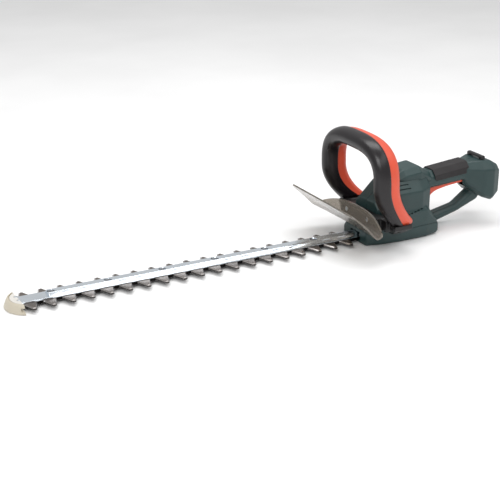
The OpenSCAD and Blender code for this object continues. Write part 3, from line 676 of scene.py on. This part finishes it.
def blade_outline(reach, blunt, inset):
    end = GEAR_X - 27
    one_side = [(BLADE_FRONT, STRIP / 2)]
    for i in range(TOOTH_COUNT):
        x = FIRST_TOOTH + i * PITCH
        one_side += [(x + a, b) for a, b in tooth_side(reach, blunt, inset)]
    one_side.append((end, STRIP / 2))
    return one_side + [(x, -y) for x, y in one_side[::-1]]


def make_blade(name, z, reach, blunt, bevel_up, steel, body, node):
    """The strip and its teeth are one skin, with the cutting edges ground at a slant."""
    full, ground = blade_outline(reach, blunt, 0), blade_outline(reach, blunt, GROUND)
    low, high = (full, ground) if bevel_up else (ground, full)
    lip = 0.5
    mid = z + (lip if bevel_up else BLADE_T - lip)
    bm = bmesh.new()
    loops = [[at(x, y, z) for x, y in low], [at(x, y, mid) for x, y in full],
        [at(x, y, z + BLADE_T) for x, y in high]]
    add_loops(bm, loops)
    blade = add_object(name, bm)
    run = THROW + 0.4
    for x in BOLT_X:
        outline = [(x + s * run + SLOT_HALF * math.cos(a), SLOT_HALF * math.sin(a))
            for s, start in ((1, -90), (-1, 90))
            for a in [math.radians(start + 18 * k) for k in range(11)]]
        cut(blade, plate(outline, (z - 1, z + BLADE_T + 1)))
    yoke = block((GEAR_X - YOKE_X, GEAR_X + YOKE_X), (-YOKE_Y, YOKE_Y), (z, z + BLADE_T))
    combine(blade, bevelled(yoke, 0.3, 1), "UNION")
    cut(blade, block((GEAR_X - WINDOW_X, GEAR_X + WINDOW_X), (-WINDOW_Y, WINDOW_Y), (z - 1, z + BLADE_T + 1)))
    blade.data.materials.clear()
    blade.data.materials.append(steel)
    blade.data.materials.append(ground_steel)
    blade.data.materials.append(painted_shade_steel)
    # Slanting faces take the ground steel; upright side walls take the near-black steel, which is painted
    # shade
    for face in blade.data.polygons:
        slant = abs(face.normal.z)
        if slant < 0.97:
            face.material_index = 1 if slant > 0.3 else 2
    finish_piece(blade, None, body, [node], 20)


def make_spine():
    half, top = STRIP / 2, 13 / 2
    outline = [(-half, SPINE_Z), (half, SPINE_Z), (half - 0.3, SPINE_Z + 1.0), (top, SPINE_TOP),
        (-top, SPINE_TOP), (0.3 - half, SPINE_Z + 1.0)]
    raised = BLADE_FRONT + 42
    end = 17.8
    bm = bmesh.new()
    add_loops(bm, [[at(x, y, z) for y, z in outline] for x in (raised, end)])
    bar = bevelled(add_object("spine", bm), 0.9, 3)
    tongue = rounded_block((POCKET_X + 1, raised + 4), (-half, half), (SPINE_Z, SPINE_Z + TONGUE_T), 0.4)
    combine(bar, tongue, "UNION")
    for x in BOLT_X:
        recess = [(5.5, 0, "round"), (5.5, 3.6, "round"), (6.2, 5, "round")]
        cut(bar, turned(at(x, 0, SPINE_Z + TONGUE_T), (0, 0, 1), recess))
        cut(bar, rod(at(x, 0, SPINE_Z - 1), (0, 0, 1), 2.6, 5))
    for i in range(TOOTH_COUNT - 1):
        x = FIRST_TOOTH + 25 + i * PITCH
        if x > raised + 4 and min(abs(x - b) for b in BOLT_X) > 14:
            for side in (-1, 1):
                cut(bar, dimple(x, side))
    for y in (-7, 7):
        cut(bar, rod(at(POCKET_X + 6, y, SPINE_Z - 1), (0, 0, 1), 1.7, 5))
    for y in (-3.5, 3.5):
        cut(bar, rod(at(11, y, SPINE_Z - 1), (0, 0, 1), 2.1, 9))
    finish_piece(bar, spine_steel, "root", ["spine_bar"], 25)


def dimple(x, side):
    """A long shallow lens pressed into the spine's sloping side."""
    long, half, deep = 10, 2.3, 0.9
    middle = at(x, side * 9.0, SPINE_Z + 4.1)
    normal = Vector((0, side * 0.76, 0.65))
    across = Vector((0, side * 0.65, -0.76))
    loops = []
    rings = 6
    for i in range(1, rings + 1):
        f = math.sin(math.pi / 2 * i / rings)
        rise = 0.35 - deep * math.sqrt(max(0, 1 - f * f))
        loops.append([middle + (Vector((long * f * math.cos(a), 0, 0)) + across * (half * f * math.sin(a))
            + normal * rise) * MM for a in [2 * math.pi * k / 32 for k in range(32)]])
    loops.append([p + normal * 3 * MM for p in loops[-1]])
    bm = bmesh.new()
    add_loops(bm, loops)
    bmesh.ops.recalc_face_normals(bm, faces=bm.faces)
    return add_object("dimple", bm)


# Rings of radius, height and shape, each from the face that the piece sits on
NUT_FLAT = 5.0 * 0.866
NUT_RINGS = [(4.6, 0, "round"), (NUT_FLAT, 0.3, "hex"), (NUT_FLAT, 3.0, "hex"), (4.1, 3.55, "round"),
    (2.9, 3.6, "round"), (2.5, 3.2, "round"), (2.5, 0, "round")]
STUD_RINGS = [(2.3, -10.4, "round"), (2.3, -0.01, "round"), (6.0, 0, "round"), (6.0, 1.1, "round"),
    (5.5, 1.55, "round"), (2.6, 1.6, "hex"), (2.4, 0.9, "hex"), (0.5, 0.7, "round")]
SLEEVE_RINGS = [(2.45, 0, "round"), (3.4, 0, "round"), (3.5, 0.15, "round"), (3.5, 4.2, "round"),
    (3.4, 4.3, "round"), (2.45, 4.3, "round"), (2.41, 4.2, "round"), (2.41, 0.1, "round")]


def make_bar_fixings():
    nuts, screws, sleeves = [], [], []
    under = BLADE_Z - GAP
    for x in BOLT_X:
        z = SPINE_Z + TONGUE_T
        nuts.append(turned(at(x, 0, z), (0, 0, 1), NUT_RINGS, "nut", hollow=True))
        screws.append(turned(at(x, 0, under), (0, 0, -1), STUD_RINGS, "stud"))
        sleeves.append(turned(at(x, 0, under), (0, 0, 1), SLEEVE_RINGS, "sleeve", hollow=True))
    finish_piece(joined(nuts, "bolt_nuts"), dark_zinc, "root", ["blade_nuts"], 30)
    finish_piece(joined(screws, "bolt_studs"), dark_zinc, "root", ["blade_screws"], 30)
    finish_piece(joined(sleeves, "bolt_sleeves"), zinc, "root", ["blade_sleeves"], 30)


TIP_R = STRIP / 2 + REACH + BLUNT + 2
TIP_TOP = SPINE_Z + TONGUE_T + 0.2 + 2.6
HORN_X = FIRST_TOOTH - TOOTH_ROOT / 2 - THROW + 4


def make_tip_guard():
    """A crescent with a sloping rim, a groove inside it and a flat inner plate."""
    centre = at(TIP_X + TIP_R, 0, 0)
    skirt = [(1.2, 0), (0.3, 0.5), (0, 1.4), (0.5, 4), (1.5, 7), (2.8, 10)]
    crown = [(4.2, 1.4), (5.4, 0.4), (6.2, 0), (6.7, 0.4), (6.8, 2.2), (8.2, 2.2), (8.4, 0.8), (9.1, 0.3),
        (20, 0.3)]
    rings = [(0.5, 0, "round")]
    rings += [(TIP_R - inward, z, "round") for inward, z in skirt]
    rings += [(TIP_R - inward, TIP_TOP - down, "round") for inward, down in crown]
    rings.append((0.5, TIP_TOP - 0.3, "round"))
    guard = turned(centre, (0, 0, 1), rings, "tip_cap", 160)
    keep = rounded_block((TIP_X - 5, HORN_X), (-TIP_R - 5, TIP_R + 5), (-5, TIP_TOP + 5), 1.2)
    combine(guard, keep, "INTERSECT")
    cut(guard, rod(at(HORN_X + 25, 0, -1), (0, 0, 1), 28, BLADE_Z + 1, segments=96))
    # pocket for the strips and the spine's tongue, and a wider one for the first teeth
    strip_half = STRIP / 2 + 0.2
    cut(guard, block((POCKET_X, HORN_X + 5), (-strip_half, strip_half), (BLADE_Z - 0.4, SPINE_Z + 2.6)))
    tooth_x = FIRST_TOOTH - TOOTH_ROOT / 2 - THROW - 1
    cut(guard, block((tooth_x, HORN_X + 5), (-60, 60), (BLADE_Z - 0.5, SPINE_Z + 0.3)))
    for y in (-7, 7):
        cut(guard, rod(at(POCKET_X + 6, y, BLADE_Z + 2), (0, 0, 1), 1.7, 20))
        cut(guard, rod(at(POCKET_X + 6, y, TIP_TOP - 1.4), (0, 0, 1), 3.3, 5))
    guard.data.materials.clear()
    guard.data.materials.append(cream_plastic)
    guard.data.materials.append(white_plastic)
    plate_r, plate_z = (TIP_R - 8.1) * MM, (TIP_TOP - 2.3) * MM
    for face in guard.data.polygons:
        if (face.center - centre).to_2d().length < plate_r and face.center.z > plate_z:
            face.material_index = 1
    finish_piece(guard, None, "root", ["tip_guard"], 35)
    heads = [screw(at(POCKET_X + 6, y, TIP_TOP - 1.38), (0, 0, 1), 3.0, 1.3, 1.5, 1.5) for y in (-7, 7)]
    finish_piece(joined(heads, "tip_cap_screws"), zinc, "root", ["tip_screws"], 30)


# ---------------------------------------------------------------- hand guard

GUARD_Z = 28
GUARD_FRONT, GUARD_REAR = -66.6, 4.65
SHIELD_HALF, SHIELD_CORNER, CORNER_X, APRON_HALF = 99.5, 22, -46, 92
GUARD_HALF_T = 1.25
EDGE_GAP = 0.3
# How far the sheet bows forward and lifts at this place across, and how far its top edge falls there
BOW_Y, BOW, LIFT, APRON_FALL = 90, 15, 7, 16
GUARD_SCREW_Y, GUARD_SCREW_Z = 30, 44


def guard_half_width(x):
    """Half width of the shield: round front corners, then a gentle taper to the apron."""
    if x < CORNER_X:
        reach = SHIELD_CORNER ** 2 - (x - CORNER_X) ** 2
        return SHIELD_HALF - SHIELD_CORNER + math.sqrt(max(0, reach))
    return SHIELD_HALF + (APRON_HALF - SHIELD_HALF) * (x - CORNER_X) / (GUARD_REAR - CORNER_X)


def guard_point(x, y, z):
    """The sheet bows forward and lifts towards its sides, most of all at the rear."""
    rear = (x - GUARD_FRONT) / (GUARD_REAR - GUARD_FRONT)
    bow = (y / BOW_Y) ** 2
    return at(x - BOW * rear * bow, y, z + LIFT * rear * bow)


def smoothed_line(points, rounds):
    """Cuts every corner of the line at a quarter and three quarters, and keeps its ends."""
    for _ in range(rounds):
        out = [points[0]]
        for (x0, z0), (x1, z1) in zip(points, points[1:]):
            for near, far in ((0.75, 0.25), (0.25, 0.75)):
                out.append((near * x0 + far * x1, near * z0 + far * z1))
        out.append(points[-1])
        points = out
    return points


def make_hand_guard():
    """A sloped clear shield that turns up into an apron in front of the loop."""
    shield = [(GUARD_FRONT, 79.6), (-50, 66.4), (-34.4, 54), (-20, 40.8), (-8.4, GUARD_Z + 1.6),
        (-2, GUARD_Z + 1.3), (GUARD_REAR - 0.05, GUARD_Z + 1.6), (GUARD_REAR, GUARD_Z + 8)]
    line = smoothed_line(shield, 3)
    apron = 10
    columns = 64
    bm = bmesh.new()
    rows = []
    across = [2 * k / columns - 1 for k in range(columns + 1)]
    for x, z in line:
        half = guard_half_width(x) - EDGE_GAP
        rows.append([bm.verts.new(guard_point(x, half * f, z)) for f in across])
    x, z = line[-1]
    for i in range(1, apron + 1):
        row = []
        for f in across:
            y = (APRON_HALF - EDGE_GAP) * f
            top = GUARD_Z + 30 - APRON_FALL * (abs(y) / BOW_Y) ** 3 - LIFT * (y / BOW_Y) ** 2
            row.append(bm.verts.new(guard_point(x, y, z + (top - z) * i / apron)))
        rows.append(row)
    for a, b in zip(rows, rows[1:]):
        for k in range(columns):
            bm.faces.new((a[k], a[k + 1], b[k + 1], b[k]))
    guard = add_object("clear_guard", bm)
    thick = guard.modifiers.new("thick", "SOLIDIFY")
    thick.thickness = 2 * GUARD_HALF_T * MM
    thick.offset = 0
    apply_modifiers(guard)
    bevelled(guard, 0.6, 2, 50)
    for side in (-1, 1):
        cut(guard, rod(at(-5, side * GUARD_SCREW_Y, GUARD_SCREW_Z), (1, 0, 0), 2.2, 20))
    finish_piece(guard, guard_clear, "root", ["hand_guard"], 40)
    heads = [screw(at(3.38, side * GUARD_SCREW_Y, GUARD_SCREW_Z), (-1, 0, 0), 3.75, 2.15, 2.0, 9.9)
        for side in (-1, 1)]
    finish_piece(joined(heads, "guard_screws"), zinc, "root", ["hand_guard_screws"], 30)


# ---------------------------------------------------------------- trigger, screws and springs

def make_trigger():
    outline = [(PIN_X + 5, 73), (PIN_X + 5, PIN_Z + 3), (PIN_X + 3, PIN_Z + 4), (PIN_X - 4, PIN_Z + 4),
        (PIN_X - 10, 82), (BASE_LEN + 9, 75.5), (BASE_LEN + 1, 72), (BASE_LEN - 2, 64), (BASE_LEN - 2, 47.5),
        (BASE_LEN - 0.8, 45.6), (BASE_LEN + 2, 45.2), (BASE_LEN + 4.4, 46.6), (BASE_LEN + 5, 51),
        (BASE_LEN + 6, 55.5), (BASE_LEN + 8, 58.6), (BASE_LEN + 11.4, 61), (BASE_LEN + 16, 63.2),
        (BASE_LEN + 22, 64.9), (BASE_LEN + 40, 67.9), (PIN_X - 14, 70.4), (PIN_X - 5, 71.5)]
    lever = bevelled(prism(outline, (-11, 11), "lever"), 1.6, 4, 40)
    cut(lever, rod(at(PIN_X, -20, PIN_Z), (0, 1, 0), 2.025, 40))
    finish_piece(lever, coral_plastic, "trigger", ["trigger"], 40)


def make_screws():
    deep = [screw(at(x, 9.1, z), (0, 1, 0), 3.0, 1.8, 1.5, 18.1) for x, z in SCREW_SPOTS]
    finish_piece(joined(deep, "case_screws"), black_steel, "root", ["housing_screws"], 30)
    low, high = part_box("loop_screws")
    loop = [screw(Vector(((low.x + high.x) / 2, y, 37.9 * MM)), (0, 0, -1), 3.5, 3.4, 1.8, 8)
        for y in (low.y + 3.5 * MM, high.y - 3.5 * MM)]
    finish_piece(joined(loop, "loop_foot_screws"), black_steel, "root", ["loop_screws"], 30)
    low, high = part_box("base_screws")
    base = [screw(Vector((x, y, 1.5 * MM)), (0, 0, -1), 3.0, 1.3, 1.5, 8.5)
        for x in (low.x + 3 * MM, high.x - 3 * MM) for y in (low.y + 3 * MM, high.y - 3 * MM)]
    finish_piece(joined(base, "plate_screws"), black_steel, "root", ["base_screws"], 30)
    bolts = [screw(at(11, y, SPINE_TOP + 5), (0, 0, 1), 3.3, 2.3, 2.0, 11.6) for y in (-3.5, 3.5)]
    finish_piece(joined(bolts, "clamp_bolts"), dark_zinc, "root", ["spine_bolts"], 30)


def coil(start, end, radius, wire, turns, name):
    """A closed-end wire spring from start to end."""
    axis = end - start
    matrix = frame_at(start, axis)
    steps = int(turns * 24)
    round_wire = 10
    loops = []
    for i in range(steps + 1):
        a = 2 * math.pi * turns * i / steps
        f = i / steps
        rise = wire * MM + (axis.length - 2 * wire * MM) * (f * f * (3 - 2 * f) * 0.4 + f * 0.6)
        loops.append([matrix @ Vector(((radius + wire * math.cos(b)) * MM * math.cos(a),
            (radius + wire * math.cos(b)) * MM * math.sin(a), rise + wire * MM * math.sin(b)))
            for b in [2 * math.pi * k / round_wire for k in range(round_wire)]])
    bm = bmesh.new()
    add_loops(bm, loops)
    return add_object(name, bm)


def make_springs():
    low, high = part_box("trigger_spring")
    x = (low.x + high.x) / 2
    spring = coil(Vector((x, 0, low.z)), Vector((x, 0, high.z)), 2.5, 0.35, 4.5, "trigger_coil")
    finish_piece(spring, zinc, "root", ["trigger_spring"], 60)
    low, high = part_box("bar_springs")
    z = (low.z + high.z) / 2
    both = [coil(Vector((low.x, y, z)), Vector((high.x, y, z)), 2.5, 0.35, 6, "one")
        for y in (low.y + 3 * MM, high.y - 3 * MM)]
    finish_piece(joined(both, "bar_coils"), zinc, "root", ["bar_springs"], 60)


# ---------------------------------------------------------------- kept CAD nodes

KEPT = {
    "base_plate": cast_alloy, "gearbox_case": cast_alloy, "gear_axle": zinc, "drive_gear": gear_steel,
    "upper_eccentric": gear_steel, "lower_eccentric": gear_steel, "pinion": gear_steel,
    "armature": wound_wire, "commutator": copper, "cooling_fan": black_plastic, "motor_can": zinc,
    "motor_magnets": cast_alloy, "motor_end_cap": black_plastic, "front_bearing": zinc,
    "rear_bearing": zinc, "loop_frame": saddle_plastic, "bar_switch": black_plastic, "trigger_pin": zinc,
    "trigger_switch": black_plastic, "control_board": board_green, "battery_contacts": contact_brass,
}


def paint_kept_nodes():
    for node, material in KEPT.items():
        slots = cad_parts[node].material_slots
        for slot in slots:
            slot.material = material


# ---------------------------------------------------------------- the scene

AIM = Vector((-0.0285, 0.006, 0.0157))
DISTANCE = 1.9
AZIMUTH, ELEVATION = 28.257, 21.416
LENS = 88.56


def add_camera():
    data = bpy.data.cameras.new("camera")
    data.lens = LENS
    data.sensor_width = 36
    camera = bpy.data.objects.new("camera", data)
    turn, tilt = math.radians(AZIMUTH), math.radians(ELEVATION)
    look = Vector((math.sin(turn) * math.cos(tilt), math.cos(turn) * math.cos(tilt), -math.sin(tilt)))
    camera.location = AIM - look * DISTANCE
    camera.rotation_euler = (math.pi / 2 - tilt, 0, -turn)
    bpy.context.scene.collection.objects.link(camera)
    bpy.context.scene.camera = camera


def add_softbox(name, place, aim, size, power, colour=(1, 1, 1)):
    data = bpy.data.lights.new(name, "AREA")
    data.shape = "RECTANGLE"
    data.size, data.size_y = size
    data.energy = power
    data.color = colour
    light = bpy.data.objects.new(name, data)
    light.location = place
    light.rotation_euler = (Vector(aim) - Vector(place)).to_track_quat("-Z", "Y").to_euler()
    bpy.context.scene.collection.objects.link(light)


def add_studio():
    bm = bmesh.new()
    bmesh.ops.create_grid(bm, x_segments=1, y_segments=1, size=6)
    floor = add_object("floor", bm)
    paper, tree, shader = new_material("paper")
    tone = ramp(tree, noise(tree, 3), (0.86, 0.86, 0.86), (0.9, 0.9, 0.9))
    tree.links.new(tone, shader.inputs["Base Color"])
    shader.inputs["Roughness"].default_value = 0.9
    floor.data.materials.append(paper)
    world = bpy.data.worlds.new("studio")
    world.use_nodes = True
    world.node_tree.nodes["Background"].inputs["Color"].default_value = (1, 1, 1, 1)
    world.node_tree.nodes["Background"].inputs["Strength"].default_value = 0.62
    bpy.context.scene.world = world
    add_softbox("key", (-1.3, -1.3, 1.7), (0, 0, 0.05), (1.2, 1.2), 20)
    add_softbox("top", (0.2, 0.5, 1.9), (0, 0, 0.05), (1.8, 0.8), 20)
    add_softbox("side", (0.55, -1.0, 1.45), (-0.2, 0, 0.05), (2.2, 0.7), 7)
    bpy.context.scene.view_settings.view_transform = "Standard"


make_housings()
make_hood()
make_grip_pad()
make_loop()
softened("loop_saddle", "saddle", 0.8, 4, saddle_plastic, "root")
softened("battery_slide", "battery_rail", 0.5, 2, black_plastic, "root")
softened("hanging_loop", "hanging_strip", 0.4, 4, black_plastic, "root")
make_blade("upper_cutter", UPPER_Z, REACH, False, True, upper_steel, "upper_blade", "upper_blade")
make_blade("lower_cutter", BLADE_Z, REACH + BLUNT, True, False, lower_steel, "lower_blade", "lower_blade")
make_spine()
make_bar_fixings()
make_tip_guard()
make_hand_guard()
make_trigger()
make_screws()
make_springs()
paint_kept_nodes()
add_camera()
add_studio()
